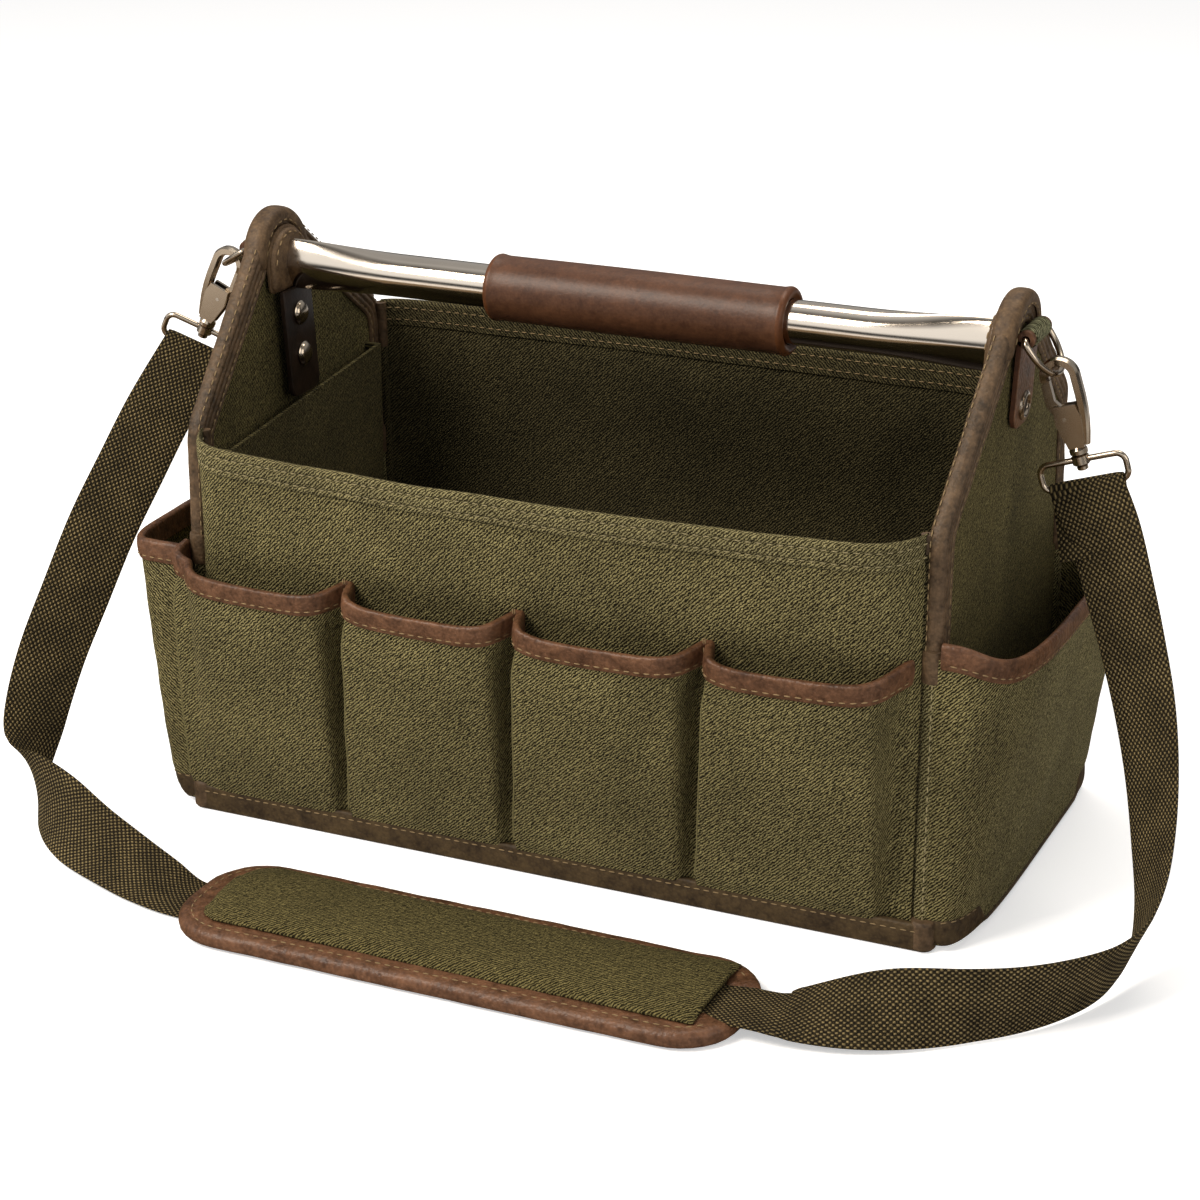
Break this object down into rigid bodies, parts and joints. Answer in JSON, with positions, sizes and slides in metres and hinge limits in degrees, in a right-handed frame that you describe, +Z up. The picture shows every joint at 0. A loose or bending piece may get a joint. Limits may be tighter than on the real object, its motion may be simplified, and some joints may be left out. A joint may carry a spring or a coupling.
{
  "type": "tool bag",
  "caption": "Open-topped canvas tool bag with leather trim, bellows pockets, a steel tube handle with a leather grip and a clip-on webbing shoulder strap with a pad.",
  "frame": {"origin": "middle of the bag's bottom, on the surface it stands on", "axes": "+X along the bag to its right, -Y towards the front wall, +Z up"},
  "size_m": [0.6018, 0.3603, 0.294],
  "materials": {
    "waxed_canvas": "waxed twill",
    "canvas_lining": "plain twill",
    "brown_leather": "oiled, fine grain",
    "dark_leather": "oiled, smooth",
    "stiff_board": "fibreboard",
    "satin_steel": "satin",
    "antique_nickel": "antiqued",
    "spring_steel": "bright",
    "cotton_webbing": "coarse weave"
  },
  "bodies": {
    "root": {"bottom_panel": "waxed_canvas", "base_board": "stiff_board", "bottom_band": "brown_leather", "front_panel": "waxed_canvas", "back_panel": "waxed_canvas", "left_end_panel": "waxed_canvas", "right_end_panel": "waxed_canvas", "front_hem": "waxed_canvas", "back_hem": "waxed_canvas", "left_end_binding": "brown_leather", "right_end_binding": "brown_leather", "left_apex_cap": "brown_leather", "right_apex_cap": "brown_leather", "corner_piping": "waxed_canvas", "front_pocket_1": "waxed_canvas", "front_pocket_2": "waxed_canvas", "front_pocket_3": "waxed_canvas", "front_pocket_4": "waxed_canvas", "front_pocket_strip_1": "brown_leather", "front_pocket_strip_2": "brown_leather", "front_pocket_strip_3": "brown_leather", "front_pocket_strip_4": "brown_leather", "back_pocket_1": "waxed_canvas", "back_pocket_2": "waxed_canvas", "back_pocket_3": "waxed_canvas", "back_pocket_4": "waxed_canvas", "back_pocket_strips": "brown_leather", "left_end_pocket": "waxed_canvas", "right_end_pocket": "waxed_canvas", "left_end_pocket_strip": "brown_leather", "right_end_pocket_strip": "brown_leather", "left_inner_pocket": "canvas_lining", "right_inner_pocket": "canvas_lining", "handle_tube": "satin_steel", "left_bracket": "satin_steel", "right_bracket": "satin_steel", "left_inner_strap": "dark_leather", "right_inner_strap": "dark_leather", "left_outer_tab": "brown_leather", "right_outer_tab": "brown_leather", "handle_rivets": "antique_nickel", "left_eye": "antique_nickel", "right_eye": "antique_nickel", "strap_webbing": "cotton_webbing"},
    "grip": {"grip_sleeve": "brown_leather"},
    "left_ring": {"left_ring": "antique_nickel"},
    "right_ring": {"right_ring": "antique_nickel"},
    "left_hook": {"left_hook": "antique_nickel", "left_gate_pin": "spring_steel", "left_gate_spring": "spring_steel"},
    "right_hook": {"right_hook": "antique_nickel", "right_gate_pin": "spring_steel", "right_gate_spring": "spring_steel"},
    "left_gate": {"left_gate": "antique_nickel"},
    "right_gate": {"right_gate": "antique_nickel"},
    "pad": {"pad_base": "brown_leather", "pad_binding": "brown_leather", "pad_cushion": "waxed_canvas"}
  },
  "joints": [
    {"name": "grip_turn", "type": "hinge", "parent": "root", "child": "grip", "pos_m": [0, 0, 0.267], "axis": [1, 0, 0], "continuous": true},
    {"name": "right_ring_swing", "type": "hinge", "parent": "root", "child": "right_ring", "pos_m": [0.20807, 0, 0.27565], "axis": [0, -1, 0], "range_deg": [-4, 1]},
    {"name": "left_ring_swing", "type": "hinge", "parent": "root", "child": "left_ring", "pos_m": [-0.20807, 0, 0.27565], "axis": [0, 1, 0], "range_deg": [-4, 1]},
    {"name": "right_hook_swivel", "type": "hinge", "parent": "root", "child": "right_hook", "pos_m": [0.22069, 0, 0.25763], "axis": [-0.2924, 0, 0.9563], "range_deg": [-10, 10]},
    {"name": "left_hook_swivel", "type": "hinge", "parent": "root", "child": "left_hook", "pos_m": [-0.22673, 0, 0.264], "axis": [0.4226, 0, 0.9063], "range_deg": [-10, 10]},
    {"name": "right_gate_open", "type": "hinge", "parent": "right_hook", "child": "right_gate", "pos_m": [0.22521, 0, 0.23601], "axis": [0, 1, 0], "range_deg": [0, 25], "stiffness_Nm_per_rad": 0.05},
    {"name": "left_gate_open", "type": "hinge", "parent": "left_hook", "child": "left_gate", "pos_m": [-0.23421, 0, 0.24321], "axis": [0, -1, 0], "range_deg": [0, 25], "stiffness_Nm_per_rad": 0.05},
    {"name": "pad_slide", "type": "slide", "parent": "root", "child": "pad", "axis": [1, 0, 0], "range_m": [-0.008, 0.008]}
  ]
}
